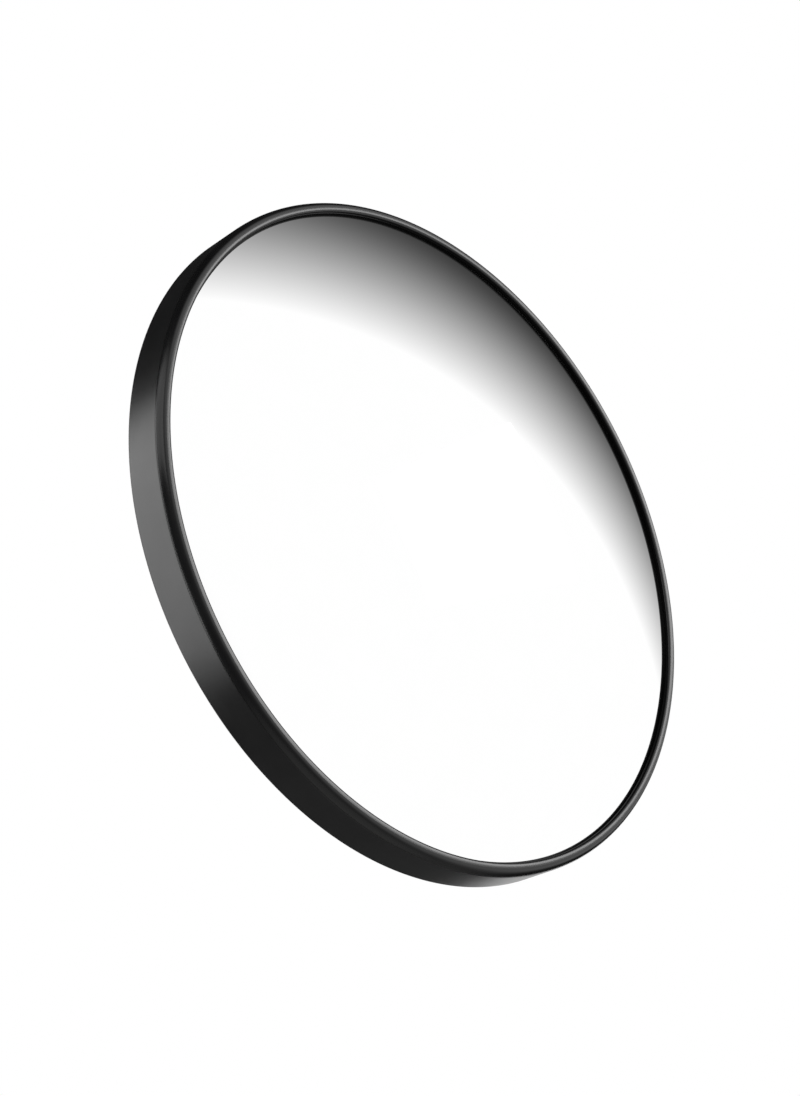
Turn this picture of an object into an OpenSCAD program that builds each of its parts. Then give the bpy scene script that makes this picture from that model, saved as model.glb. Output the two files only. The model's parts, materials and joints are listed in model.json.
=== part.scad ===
// Round convex security mirror on a wall bracket that pans and tilts.
// Millimetres. The origin is the middle of the wall plate's back face, where it meets the wall.
// +Z is up and the mirror faces -Y.

/* [Rim] */
// Outside diameter of the rim and casing
rim_d = 450; // [300:5:900]
// Thickness of the round bead at the front of the rim
bead_d = 8.6; // [7:0.2:14]
// How far the bead reaches back past its middle, to the parting line with the casing
lip_back = 1; // [0.5:0.1:2.6]
// Thickness of the bead's lip in front of the mirror's edge
lip_t = 3; // [2.2:0.1:3.4]
// Width of the bead from its crest to its inner edge
bead_in = 3.8; // [3:0.1:5]
// Fullness of the bead's inner half: 2 is an ellipse, more is squarer
bead_full = 3; // [2:0.1:4]
// Wall of the skirt that plugs into the casing
skirt_t = 1.3; // [0.9:0.1:1.8]
// Length of the skirt behind the parting line
skirt_len = 9; // [7:0.2:12]
// Height of the snap barb on the skirt
barb_h = 0.6; // [0.3:0.1:0.9]
// Length of the snap barb along the skirt
barb_len = 1.6; // [1:0.1:2.4]

/* [Mirror] */
// Rise of the mirror from its edge to its middle
dome_rise = 40; // [20:1:70]
// Thickness of the mirrored acrylic
dome_t = 3; // [2:0.1:4]
// Thickness of the foam gasket, pressed
gasket_t = 2; // [1:0.1:3]
// Width of the foam gasket
gasket_w = 4; // [3:0.2:8]

/* [Casing] */
// Distance from the middle of the bead to the back edge of the casing
casing_depth = 26.3; // [22:0.1:60]
// Side wall of the casing
casing_wall = 2.5; // [1.8:0.1:3]
// Width of the parting line between the bead and the casing
parting_w = 0.2; // [0.2:0.1:1.5]
// Rounding of the casing's back edge
back_round = 1; // [0.4:0.1:1.5]
// Thickness of the back panel
panel_t = 3; // [2:0.1:4]
// How far the back panel is set in from the back edge
panel_recess = 2; // [1:0.1:4]
// Diameter of the raised pad that carries the bracket
pad_d = 150; // [130:1:200]
// How far the pad stands behind the casing's back edge
pad_proud = 3; // [1:0.1:8]
// Number of ribs from the pad to the wall
rib_count = 12; // [6:1:24]
// Width of a rib
rib_w = 2.4; // [1.5:0.1:4]
// Width of the ring that the gasket sits on
seat_w = 3; // [2:0.1:3]

/* [Stiffener and its bolts] */
// Diameter of the steel stiffener inside the pad
stiffener_d = 130; // [115:1:140]
// Thickness of the stiffener
stiffener_t = 2.5; // [1.5:0.1:4]
// Diameter of the fork bolts
fork_bolt_d = 5; // [4:0.5:6]
// Distance between neighbouring fork bolts
fork_bolt_pitch = 64; // [56:1:66]
// Width across flats of the fork bolts and nuts
fork_hex_af = 8; // [7:0.5:10]
// Height of a fork bolt's head
fork_head_h = 3.5; // [2.5:0.1:5]
// Height of a fork nut
fork_nut_h = 4.7; // [3:0.1:6]
// Diameter of a fork washer
fork_washer_d = 10; // [10:0.5:14]
// Thickness of a fork washer
fork_washer_t = 1; // [0.6:0.1:1.6]
// Bolt end standing out of the nut
fork_bolt_end = 2; // [0.5:0.1:4]

/* [Tilt fork] */
// Side of the fork's square base plate
fork_base = 84; // [80:1:96]
// Thickness of the base plate
fork_base_t = 4; // [3:0.1:6]
// Corner radius of the base plate
fork_corner = 8; // [3:0.5:12]
// Thickness of each fork ear
fork_ear_t = 4; // [3:0.1:6]
// Distance from the tilt axis to the casing's pad
tilt_reach = 28; // [26:0.5:40]

/* [Swivel arm] */
// Distance from the pan axis to the tilt axis
arm_len = 58; // [50:1:90]
// Width of the arm's beam
arm_w = 18; // [14:0.5:22]
// Height of the arm's beam
arm_h = 20; // [14:0.5:24]
// Edge radius of the arm's beam
arm_round = 4; // [1:0.5:6]
// Diameter of the vertical eye
pan_eye_d = 28; // [26:0.5:36]
// Height of the vertical eye
pan_eye_h = 30; // [28:0.5:44]
// Diameter of the horizontal eye
tilt_eye_d = 26; // [26:0.5:32]
// Width of the horizontal eye
tilt_eye_w = 28; // [26:0.5:40]

/* [Pivots] */
// Diameter of the two pivot bolts
pivot_d = 8; // [6:0.5:8]
// Running clearance between a bolt and its bush, on the radius
pivot_play = 0.05; // [0.02:0.01:0.1]
// Outside diameter of a bush's sleeve
bush_d = 12; // [11:0.1:14]
// Length of a bush's sleeve
bush_len = 12; // [6:0.5:12.5]
// Diameter of a bush's flange
bush_flange_d = 24; // [18:0.5:26]
// Thickness of a bush's flange
bush_flange_t = 1; // [0.6:0.1:2]
// Diameter of a pivot bolt's round head
bolt_head_d = 18; // [15:0.5:20]
// Height of a pivot bolt's round head
bolt_head_h = 4.5; // [3:0.1:6]
// Diameter of the washer under a knob
washer_d = 17; // [14:0.5:20]
// Thickness of the washer under a knob
washer_t = 1.6; // [1:0.1:2.5]

/* [Clamp knobs] */
// Diameter over the lobes of a knob
knob_d = 36; // [32:0.5:44]
// Height of a knob with its boss
knob_h = 17; // [15:0.5:24]
// Diameter of the boss that bears on the washer
knob_boss_d = 20; // [19:0.5:24]
// Height of the boss
knob_boss_h = 3; // [1:0.5:5]
// Number of lobes
knob_lobes = 5; // [3:1:8]
// Diameter of one lobe
knob_lobe_d = 11; // [8:0.5:12]
// Closed top of the knob above the bolt's hole
knob_top_t = 2.5; // [1.5:0.1:4]
// Width across flats of the threaded insert
insert_af = 13; // [11:0.5:14]
// Height of the threaded insert
insert_h = 10; // [7:0.5:11]
// Bolt end standing out of the insert
bolt_end = 2; // [0.5:0.1:3]

/* [Wall plate] */
// Width of the wall plate
plate_w = 80; // [76:1:120]
// Height of the wall plate
plate_h = 100; // [94:1:160]
// Thickness of the wall plate
plate_t = 4; // [3:0.1:6]
// Corner radius of the wall plate
plate_corner = 10; // [3:0.5:12]
// Diameter of the four screw holes
screw_hole_d = 6.5; // [4.5:0.1:8]
// Distance between the screw holes across the plate
screw_pitch_x = 56; // [50:1:60]
// Distance between the screw holes up the plate
screw_pitch_z = 76; // [70:1:80]
// Thickness of each pan ear
pan_ear_t = 5; // [4:0.1:8]
// Distance from the wall to the pan axis
pan_axis = 36; // [30:0.5:60]

/* [Clearances] */
// Gap between pieces that plug or stack together inside the head
fit_gap = 0.2; // [0.1:0.05:0.4]
// Gap between a pressed-in piece and its hole, on the radius
press_gap = 0.02; // [0.01:0.01:0.05]
// Gap beside a turning face
side_play = 0.1; // [0.05:0.05:0.3]
// Extra room of a bolt hole over its bolt, on the radius
hole_room = 0.25; // [0.1:0.05:0.5]
// Gap between a nut's thread and its bolt, on the radius
thread_gap = 0.05; // [0.02:0.01:0.1]

/* [Hidden] */
$fn = 128;
eps = 0.01;

// The head's own axis: s runs from the middle of the bead towards the wall, r from the axis outwards.
rim_r = rim_d / 2;
bead_r = bead_d / 2;
bead_ring_r = rim_r - bead_r;
lip_s = lip_t - bead_r;
lip_r = bead_ring_r - bead_in;
skirt_out_r = rim_r - casing_wall - fit_gap;
skirt_in_r = skirt_out_r - skirt_t;
skirt_end_s = lip_back + skirt_len;
barb_mid_s = skirt_end_s - barb_len;

// Mirror: a spherical cap whose edge starts just under the bead's lip.
flange_r = skirt_in_r - fit_gap;
flange_s = lip_s + fit_gap;
cap_edge_r = lip_r + fit_gap;
cap_r = (cap_edge_r * cap_edge_r + dome_rise * dome_rise) / (2 * dome_rise);
cap_mid_s = flange_s - dome_rise + cap_r;
gasket_s = flange_s + dome_t;
gasket_in_r = flange_r - gasket_w;
seat_s = gasket_s + gasket_t;

// Casing.
wall_in_r = rim_r - casing_wall;
wall_front_s = lip_back + parting_w;
panel_back_s = casing_depth - panel_recess;
panel_front_s = panel_back_s - panel_t;
pad_r = pad_d / 2;
pad_s = casing_depth + pad_proud;
pad_front_s = pad_s - panel_t;
stiffener_s = pad_front_s - stiffener_t;
fork_bolt_hole_r = fork_bolt_d / 2 + hole_room;

// Distances from the wall.
tilt_axis = pan_axis + arm_len;
pad_y = tilt_axis + tilt_reach;
bead_y = pad_y + pad_s;

// Pivots, measured from the middle of an eye along its axis.
pivot_r = pivot_d / 2;
bush_bore_r = pivot_r + pivot_play;
bush_r = bush_d / 2 - press_gap;
pan_ear_in = pan_eye_h / 2 + bush_flange_t + side_play;
pan_ear_out = pan_ear_in + pan_ear_t;
pan_knob_at = pan_ear_out + washer_t + side_play;
tilt_ear_in = tilt_eye_w / 2 + bush_flange_t + side_play;
tilt_ear_out = tilt_ear_in + fork_ear_t;
tilt_knob_at = tilt_ear_out + washer_t + side_play;
pan_bolt_len = pan_ear_out + pan_knob_at + insert_h + bolt_end;
tilt_bolt_len = tilt_ear_out + tilt_knob_at + insert_h + bolt_end;
square_hole = pivot_d + 2 * hole_room;

moulded_black = [0.05, 0.05, 0.055];
rim_black = [0.03, 0.03, 0.033];
mirror_silver = [0.86, 0.88, 0.9];
foam_grey = [0.22, 0.22, 0.23];
coated_black = [0.09, 0.09, 0.095];
galvanised = [0.6, 0.62, 0.64];
zinc = [0.72, 0.73, 0.75];
nylon = [0.88, 0.87, 0.82];
brass = [0.8, 0.64, 0.3];

// Places its children on the head's axis, with +Z of the child running towards the wall.
module on_head_axis() {
    translate([0, -bead_y, 0]) rotate([-90, 0, 0]) children();
}

// Places its children on the pan axis, with +Z up.
module on_pan_axis() {
    translate([0, -pan_axis, 0]) children();
}

// Places its children on the tilt axis, with +Z of the child running towards +X.
module on_tilt_axis() {
    translate([0, -tilt_axis, 0]) rotate([0, 90, 0]) children();
}

// Rectangle of a section from radius r0 to r1 and from s0 to s1.
module band(r0, r1, s0, s1) {
    translate([r0, s0]) square([r1 - r0, s1 - s0]);
}

// Rectangle about the middle with rounded corners.
module rounded_rectangle(w, h, corner) {
    square([w - 2 * corner, h], center = true);
    square([w, h - 2 * corner], center = true);
    for (x = [-1, 1], y = [-1, 1])
        translate([x * (w / 2 - corner), y * (h / 2 - corner)]) circle(corner);
}

// Outline of an ear: a round end about the axis and straight sides back to its root.
module ear_outline(end_r, root) {
    circle(end_r);
    translate([0, -end_r]) square([root, 2 * end_r]);
}

// Flat round washer standing on z = 0.
module washer(outer_d, hole_r, t) {
    difference() {
        cylinder(d = outer_d, h = t);
        translate([0, 0, -eps]) cylinder(r = hole_r, h = t + 2 * eps);
    }
}

// Hexagon prism standing on z = 0.
module hexagon(across_flats, h) {
    cylinder(d = across_flats / cos(30), h = h, $fn = 6);
}

// Repeats its children at the four fork bolts.
module at_fork_bolts() {
    for (x = [-1, 1], y = [-1, 1])
        translate([x * fork_bolt_pitch / 2, y * fork_bolt_pitch / 2, 0]) children();
}

// Flanged bush whose flange stands on z = 0 and whose sleeve runs down from it.
module flanged_bush() {
    difference() {
        union() {
            cylinder(d = bush_flange_d, h = bush_flange_t);
            translate([0, 0, -bush_len]) cylinder(r = bush_r, h = bush_len + bush_flange_t);
        }
        translate([0, 0, -bush_len - eps]) cylinder(r = bush_bore_r, h = bush_len + bush_flange_t + 2 * eps);
    }
}

// Carriage bolt with its round head on z = 0 and its shank running down, square as far as the ear.
module carriage_bolt(length, ear_t) {
    head_r = bolt_head_d / 2;
    ball_r = (head_r * head_r + bolt_head_h * bolt_head_h) / (2 * bolt_head_h);
    rotate_extrude() intersection() {
        translate([0, bolt_head_h - ball_r]) circle(ball_r);
        square([bolt_head_d, bolt_head_h]);
    }
    translate([-pivot_r, -pivot_r, -ear_t]) cube([pivot_d, pivot_d, ear_t + eps]);
    translate([0, 0, -length]) cylinder(r = pivot_r, h = length);
}

// Lobed clamp knob with its boss on z = 0 and its closed top up.
module clamp_knob() {
    core_r = knob_d / 2 - knob_lobe_d / 2;
    body_h = knob_h - knob_boss_h;
    difference() {
        union() {
            cylinder(d = knob_boss_d, h = knob_boss_h + eps);
            translate([0, 0, knob_boss_h]) {
                cylinder(r = core_r, h = body_h);
                for (i = [0 : knob_lobes - 1])
                    rotate(360 * i / knob_lobes) translate([core_r, 0, 0])
                        cylinder(d = knob_lobe_d, h = body_h);
            }
        }
        translate([0, 0, -eps]) hexagon(insert_af + 2 * press_gap, insert_h + eps);
        cylinder(r = pivot_r + hole_room, h = knob_h - knob_top_t);
    }
}

// Threaded insert that fills the knob's hexagon pocket.
module knob_insert() {
    difference() {
        hexagon(insert_af, insert_h);
        translate([0, 0, -eps]) cylinder(r = bush_bore_r, h = insert_h + 2 * eps);
    }
}

// Inner half of the bead's section: level at the crest and upright where it meets the mirror's edge.
module bead_inner_half(steps = 20) {
    power = 2 / bead_full;
    polygon(concat([for (i = [0:steps]) [
        bead_ring_r - bead_in * pow(cos(90 * i / steps), power),
        lip_s - lip_t * pow(sin(90 * i / steps), power)]],
        [[bead_ring_r + bead_r / 2, lip_s]]));
}

// Front ring: round bead with a lip over the mirror's edge, skirt and snap barb.
module rim_ring() {
    barb_start_s = barb_mid_s - barb_len / 2;
    barb_end_s = barb_mid_s + barb_len / 2;
    barb_r = skirt_out_r + barb_h;
    color(rim_black) on_head_axis() rotate_extrude() {
        intersection() {
            translate([bead_ring_r, 0]) circle(bead_r);
            union() {
                band(bead_ring_r - bead_in / 2, rim_r + bead_d, -bead_d, lip_s);
                band(skirt_in_r, rim_r + bead_d, -bead_d, lip_back);
            }
        }
        bead_inner_half();
        band(skirt_in_r, skirt_out_r, 0, skirt_end_s);
        polygon([[skirt_out_r - eps, barb_start_s], [barb_r, barb_start_s], [barb_r, barb_mid_s],
            [skirt_out_r - eps, barb_end_s]]);
    }
}

// Bulging mirror with the flat edge that the rim clamps.
module mirror_dome() {
    color(mirror_silver) on_head_axis() rotate_extrude() {
        intersection() {
            difference() {
                translate([0, cap_mid_s]) circle(cap_r);
                translate([0, cap_mid_s]) circle(cap_r - dome_t);
            }
            band(0, rim_r, flange_s - dome_rise - eps, gasket_s);
            union() {
                band(0, cap_edge_r, flange_s - dome_rise - eps, gasket_s);
                band(0, flange_r, flange_s, gasket_s);
            }
        }
        band(cap_edge_r, flange_r, flange_s, gasket_s);
    }
}

// Foam ring between the mirror's edge and the casing's seat.
module foam_gasket() {
    color(foam_grey) on_head_axis() rotate_extrude() band(gasket_in_r, flange_r, gasket_s, seat_s);
}

// Section of the casing: side wall, gasket seat, back panel and raised pad.
module casing_section() {
    difference() {
        union() {
            band(wall_in_r, rim_r, wall_front_s, casing_depth);
            band(gasket_in_r, gasket_in_r + seat_w, seat_s, panel_back_s);
            band(pad_r - panel_t, rim_r - back_round, panel_front_s, panel_back_s);
            band(pad_r - panel_t, pad_r, panel_front_s, pad_s);
            band(0, pad_r, pad_front_s, pad_s);
        }
        band(wall_in_r - eps, skirt_out_r + barb_h + fit_gap,
            barb_mid_s - barb_len / 2 - fit_gap, barb_mid_s + barb_len / 2 + fit_gap);
        difference() {
            band(rim_r - back_round, rim_r + eps, casing_depth - back_round, casing_depth + eps);
            translate([rim_r - back_round, casing_depth - back_round]) circle(back_round);
        }
    }
}

// Moulded pan behind the mirror, ribbed on its back.
module casing() {
    color(moulded_black) on_head_axis() difference() {
        union() {
            rotate_extrude() casing_section();
            for (i = [0 : rib_count - 1])
                rotate(360 * (i + 0.5) / rib_count)
                    translate([pad_r - eps, -rib_w / 2, panel_back_s - eps])
                        cube([wall_in_r - pad_r + 2 * eps, rib_w, panel_recess + eps]);
        }
        at_fork_bolts() translate([0, 0, pad_front_s - eps])
            cylinder(r = fork_bolt_hole_r, h = panel_t + 2 * eps);
    }
}

// Steel disc inside the raised pad.
module stiffener_plate() {
    color(zinc) on_head_axis() translate([0, 0, stiffener_s]) difference() {
        cylinder(d = stiffener_d, h = stiffener_t);
        at_fork_bolts() translate([0, 0, -eps]) cylinder(r = fork_bolt_hole_r, h = stiffener_t + 2 * eps);
    }
}

// Four hex bolts from inside the casing out through the fork's base.
module fork_bolts() {
    shank = stiffener_t + panel_t + fork_base_t + fork_washer_t + fork_nut_h + fork_bolt_end;
    color(zinc) on_head_axis() at_fork_bolts() translate([0, 0, stiffener_s]) {
        translate([0, 0, -fork_head_h]) hexagon(fork_hex_af, fork_head_h);
        cylinder(d = fork_bolt_d, h = shank);
    }
}

// Washers on the fork's base.
module fork_washers() {
    color(zinc) on_head_axis() at_fork_bolts() translate([0, 0, pad_s + fork_base_t])
        washer(fork_washer_d, fork_bolt_hole_r, fork_washer_t);
}

// Nuts on those washers.
module fork_nuts() {
    nut_s = pad_s + fork_base_t + fork_washer_t;
    color(zinc) on_head_axis() at_fork_bolts() translate([0, 0, nut_s]) difference() {
        hexagon(fork_hex_af, fork_nut_h);
        translate([0, 0, -eps]) cylinder(r = fork_bolt_d / 2 + thread_gap, h = fork_nut_h + 2 * eps);
    }
}

// Galvanised fork: square base on the casing's pad and two ears back to the tilt axis.
module tilt_fork() {
    ear_root = tilt_reach - fork_base_t / 2;
    color(galvanised) difference() {
        union() {
            on_head_axis() translate([0, 0, pad_s]) linear_extrude(fork_base_t)
                rounded_rectangle(fork_base, fork_base, fork_corner);
            for (side = [-1, 1])
                translate([side * (tilt_ear_in + fork_ear_t / 2), -tilt_axis, 0])
                    rotate([90, 0, -90]) linear_extrude(fork_ear_t, center = true)
                        ear_outline(tilt_eye_d / 2, ear_root);
        }
        fork_base_holes();
        on_tilt_axis() cylinder(r = pivot_r + hole_room, h = tilt_ear_out + eps);
        translate([-tilt_ear_out - eps, -tilt_axis - square_hole / 2, -square_hole / 2])
            cube([fork_ear_t + 2 * eps, square_hole, square_hole]);
    }
}

// Bolt holes of the fork's base.
module fork_base_holes() {
    on_head_axis() at_fork_bolts() translate([0, 0, pad_s - eps])
        cylinder(r = fork_bolt_hole_r, h = fork_base_t + 2 * eps);
}

// Carriage bolt of the tilt axis, its head on the -X ear.
module tilt_bolt() {
    color(zinc) translate([-tilt_ear_out, -tilt_axis, 0]) rotate([0, -90, 0])
        carriage_bolt(tilt_bolt_len, fork_ear_t);
}

// Washer under the tilt knob.
module tilt_washer() {
    color(zinc) on_tilt_axis() translate([0, 0, tilt_ear_out])
        washer(washer_d, pivot_r + hole_room, washer_t);
}

// Knob that clamps the tilt.
module tilt_knob() {
    color(moulded_black) on_tilt_axis() translate([0, 0, tilt_knob_at]) clamp_knob();
}

// Threaded insert of the tilt knob.
module tilt_knob_insert() {
    color(brass) on_tilt_axis() translate([0, 0, tilt_knob_at]) knob_insert();
}

// Cast arm: vertical eye at the wall, beam, horizontal eye at the head.
module swivel_arm() {
    color(coated_black) difference() {
        union() {
            on_pan_axis() cylinder(d = pan_eye_d, h = pan_eye_h, center = true);
            translate([0, -pan_axis, 0]) rotate([90, 0, 0]) linear_extrude(arm_len)
                rounded_rectangle(arm_w, arm_h, arm_round);
            on_tilt_axis() cylinder(d = tilt_eye_d, h = tilt_eye_w, center = true);
        }
        on_pan_axis() cylinder(d = bush_d, h = pan_eye_h + 2 * eps, center = true);
        on_tilt_axis() cylinder(d = bush_d, h = tilt_eye_w + 2 * eps, center = true);
    }
}

// Bushes of the horizontal eye.
module tilt_bush_left() {
    color(nylon) on_tilt_axis() mirror([0, 0, 1]) translate([0, 0, tilt_eye_w / 2]) flanged_bush();
}

module tilt_bush_right() {
    color(nylon) on_tilt_axis() translate([0, 0, tilt_eye_w / 2]) flanged_bush();
}

// Bushes of the vertical eye.
module pan_bush_upper() {
    color(nylon) on_pan_axis() translate([0, 0, pan_eye_h / 2]) flanged_bush();
}

module pan_bush_lower() {
    color(nylon) on_pan_axis() mirror([0, 0, 1]) translate([0, 0, pan_eye_h / 2]) flanged_bush();
}

// Galvanised wall plate with its two welded pan ears.
module wall_plate() {
    color(galvanised) difference() {
        union() {
            rotate([90, 0, 0]) linear_extrude(plate_t) rounded_rectangle(plate_w, plate_h, plate_corner);
            for (z = [pan_ear_in, -pan_ear_out])
                on_pan_axis() translate([0, 0, z]) rotate(90) linear_extrude(pan_ear_t)
                    ear_outline(pan_eye_d / 2, pan_axis - plate_t / 2);
        }
        for (x = [-1, 1], z = [-1, 1])
            translate([x * screw_pitch_x / 2, eps, z * screw_pitch_z / 2]) rotate([90, 0, 0])
                cylinder(d = screw_hole_d, h = plate_t + 2 * eps);
        on_pan_axis() translate([0, 0, -pan_ear_out - eps])
            cylinder(r = pivot_r + hole_room, h = pan_ear_t + 2 * eps);
        on_pan_axis() translate([-square_hole / 2, -square_hole / 2, pan_ear_in - eps])
            cube([square_hole, square_hole, pan_ear_t + 2 * eps]);
    }
}

// Carriage bolt of the pan axis, its head on the upper ear.
module pan_bolt() {
    color(zinc) on_pan_axis() translate([0, 0, pan_ear_out]) carriage_bolt(pan_bolt_len, pan_ear_t);
}

// Washer under the lower ear.
module pan_washer() {
    color(zinc) on_pan_axis() mirror([0, 0, 1]) translate([0, 0, pan_ear_out])
        washer(washer_d, pivot_r + hole_room, washer_t);
}

// Knob that clamps the pan.
module pan_knob() {
    color(moulded_black) on_pan_axis() mirror([0, 0, 1]) translate([0, 0, pan_knob_at]) clamp_knob();
}

// Threaded insert of the pan knob.
module pan_knob_insert() {
    color(brass) on_pan_axis() mirror([0, 0, 1]) translate([0, 0, pan_knob_at]) knob_insert();
}

rim_ring();
mirror_dome();
foam_gasket();
casing();
stiffener_plate();
fork_bolts();
fork_washers();
fork_nuts();
tilt_fork();
tilt_bolt();
tilt_washer();
tilt_knob();
tilt_knob_insert();
swivel_arm();
tilt_bush_left();
tilt_bush_right();
pan_bush_upper();
pan_bush_lower();
wall_plate();
pan_bolt();
pan_washer();
pan_knob();
pan_knob_insert();
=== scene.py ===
"""A round convex security mirror: its finishes and fine shapes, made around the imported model."""
import json
import math

import bpy
from bpy.props import FloatProperty, FloatVectorProperty, IntProperty, PointerProperty
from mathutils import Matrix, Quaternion, Vector


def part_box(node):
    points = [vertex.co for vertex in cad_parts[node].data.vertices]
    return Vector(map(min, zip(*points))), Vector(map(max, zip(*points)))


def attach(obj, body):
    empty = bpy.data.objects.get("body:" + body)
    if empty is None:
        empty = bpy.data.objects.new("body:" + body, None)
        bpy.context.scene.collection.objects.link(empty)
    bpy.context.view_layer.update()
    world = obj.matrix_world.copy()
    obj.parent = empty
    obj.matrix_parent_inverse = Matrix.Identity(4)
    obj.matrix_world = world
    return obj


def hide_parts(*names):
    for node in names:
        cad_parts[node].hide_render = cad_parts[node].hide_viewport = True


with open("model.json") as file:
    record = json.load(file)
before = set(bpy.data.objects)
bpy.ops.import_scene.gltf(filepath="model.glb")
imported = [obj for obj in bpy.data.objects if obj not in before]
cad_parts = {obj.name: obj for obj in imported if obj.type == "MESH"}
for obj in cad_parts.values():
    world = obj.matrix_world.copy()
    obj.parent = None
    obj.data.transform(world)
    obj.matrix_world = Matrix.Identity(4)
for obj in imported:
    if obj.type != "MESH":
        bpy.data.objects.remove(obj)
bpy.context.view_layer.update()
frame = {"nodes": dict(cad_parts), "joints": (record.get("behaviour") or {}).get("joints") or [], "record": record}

bl_info = {
    "name": "Convex Security Mirror",
    "version": (1, 0, 0),
    "blender": (4, 5, 0),
    "location": "View3D > Sidebar > Mirror",
    "description": "Builds a round convex wall mirror with its rim, casing and pan and tilt bracket",
    "category": "Add Mesh",
}

MM = 0.001
MERGE = 1e-6
SMOOTH_ANGLE = math.radians(32)
DOME_SMOOTH_ANGLE = math.radians(15)
WELD_SMOOTH_ANGLE = math.radians(60)
QUARTER = math.pi / 2
ALONG_X = (0, QUARTER, 0)
AGAINST_X = (0, -QUARTER, 0)
ALONG_Y = (-QUARTER, 0, 0)
AGAINST_Y = (QUARTER, 0, 0)
AGAINST_Z = (math.pi, 0, 0)
X_AXIS = Vector((1, 0, 0))
Y_AXIS = Vector((0, 1, 0))
Z_AXIS = Vector((0, 0, 1))

RIM_LOW, RIM_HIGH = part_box("rim_ring")
DOME_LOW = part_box("mirror_dome")[0]
CASING_LOW, CASING_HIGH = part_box("casing")
FORK_LOW, FORK_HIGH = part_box("tilt_fork")
ARM_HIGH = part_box("swivel_arm")[1]
PLATE_LOW, PLATE_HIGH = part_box("wall_plate")
NUTS_LOW, NUTS_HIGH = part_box("fork_nuts")
FORK_WASHERS_LOW, FORK_WASHERS_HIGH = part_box("fork_washers")
FORK_BOLTS_LOW, FORK_BOLTS_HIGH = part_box("fork_bolts")
TILT_BOLT_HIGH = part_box("tilt_bolt")[1]
PAN_BOLT_LOW, PAN_BOLT_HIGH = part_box("pan_bolt")
TILT_WASHER_LOW, TILT_WASHER_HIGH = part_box("tilt_washer")
PAN_WASHER_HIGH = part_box("pan_washer")[1]
TILT_KNOB_LOW, TILT_KNOB_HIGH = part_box("tilt_knob")
PAN_KNOB_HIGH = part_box("pan_knob")[1]
TILT_BUSH_LOW, TILT_BUSH_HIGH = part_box("tilt_bush_right")
PAN_BUSH_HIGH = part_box("pan_bush_upper")[1]

JOINTS = {joint["name"]: joint for joint in frame["joints"]}
PAN_PIVOT = Vector(JOINTS["pan"]["pos_m"])
TILT_PIVOT = Vector(JOINTS["tilt"]["pos_m"])
WALL_SCREWS = next(m["dims"] for m in frame["record"]["mounts"] if m["name"] == "wall_screws")


# Sizes and colours that a user would change

def metres(name, default, description):
    """A length property in metres."""
    return FloatProperty(
        name=name, description=description, default=default, unit="LENGTH", subtype="DISTANCE", precision=5)


def colour(name, default, description):
    """A colour property."""
    return FloatVectorProperty(
        name=name, description=description, default=default, size=3, min=0.0, max=1.0, subtype="COLOR")


def number(name, default, description, least=0.0):
    """A plain number property."""
    return FloatProperty(name=name, description=description, default=default, min=least)


def whole(name, default, description, least=3):
    """A whole number property."""
    return IntProperty(name=name, description=description, default=default, min=least)


def degrees(name, default, description):
    """An angle property, given in degrees."""
    return FloatProperty(name=name, description=description, default=math.radians(default), subtype="ANGLE")


def direction(name, default, description):
    """A direction property."""
    return FloatVectorProperty(
        name=name, description=description, default=default, size=3, subtype="DIRECTION")


class HeadSizes(bpy.types.PropertyGroup):
    """Sizes of the rim, the mirror and the casing."""

    rim_radius: metres("Rim radius", RIM_HIGH.x, "Outside radius of the rim and casing")
    bead_radius: metres("Bead radius", 4.3 * MM, "Radius of the round bead's section")
    lip_back: metres("Lip back", 1 * MM, "Bead's middle to the parting line with the casing")
    shoulder: metres("Shoulder", 6.5 * MM, "How far the bead's outer side curves back from its crest")
    lip_thickness: metres("Lip", 3 * MM, "Lip of the bead in front of the mirror's edge")
    bead_inside: metres("Bead inside", 3.8 * MM, "Bead's crest to its inner edge")
    bead_fullness: number("Bead fullness", 3.0, "Bead's inner half: 2 is an ellipse, more is squarer", 2.0)
    skirt_thickness: metres("Skirt", 1.3 * MM, "Wall of the skirt that plugs into the casing")
    barb_height: metres("Barb", 0.6 * MM, "Height of the snap barb")
    barb_length: metres("Barb length", 1.6 * MM, "Length of the snap barb along the skirt")
    fit_gap: metres("Fit gap", 0.2 * MM, "Gap between pieces that plug together")
    dome_thickness: metres("Mirror thickness", 3 * MM, "Thickness of the mirrored acrylic")
    casing_wall: metres("Casing wall", 2.5 * MM, "Side wall of the casing")
    casing_depth: metres("Casing depth", 26.3 * MM, "Bead's middle to the casing's back edge")
    panel_thickness: metres("Panel", 3 * MM, "Thickness of the back panel")
    panel_recess: metres("Panel recess", 2 * MM, "Back panel set in from the back edge")
    pad_radius: metres("Pad radius", 75 * MM, "Radius of the raised pad that carries the bracket")
    seat_width: metres("Seat", 3 * MM, "Width of the ring under the gasket")
    gasket_width: metres("Gasket width", 4 * MM, "Width of the foam gasket")
    gasket_thickness: metres("Gasket", 2 * MM, "Thickness of the pressed foam gasket")
    rib_width: metres("Rib width", 2.4 * MM, "Width of a rib on the casing's back")
    rib_count: whole("Ribs", 12, "Ribs on the casing's back")
    steps: whole("Steps", 360, "Steps round the rim, mirror and casing", 48)


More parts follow.
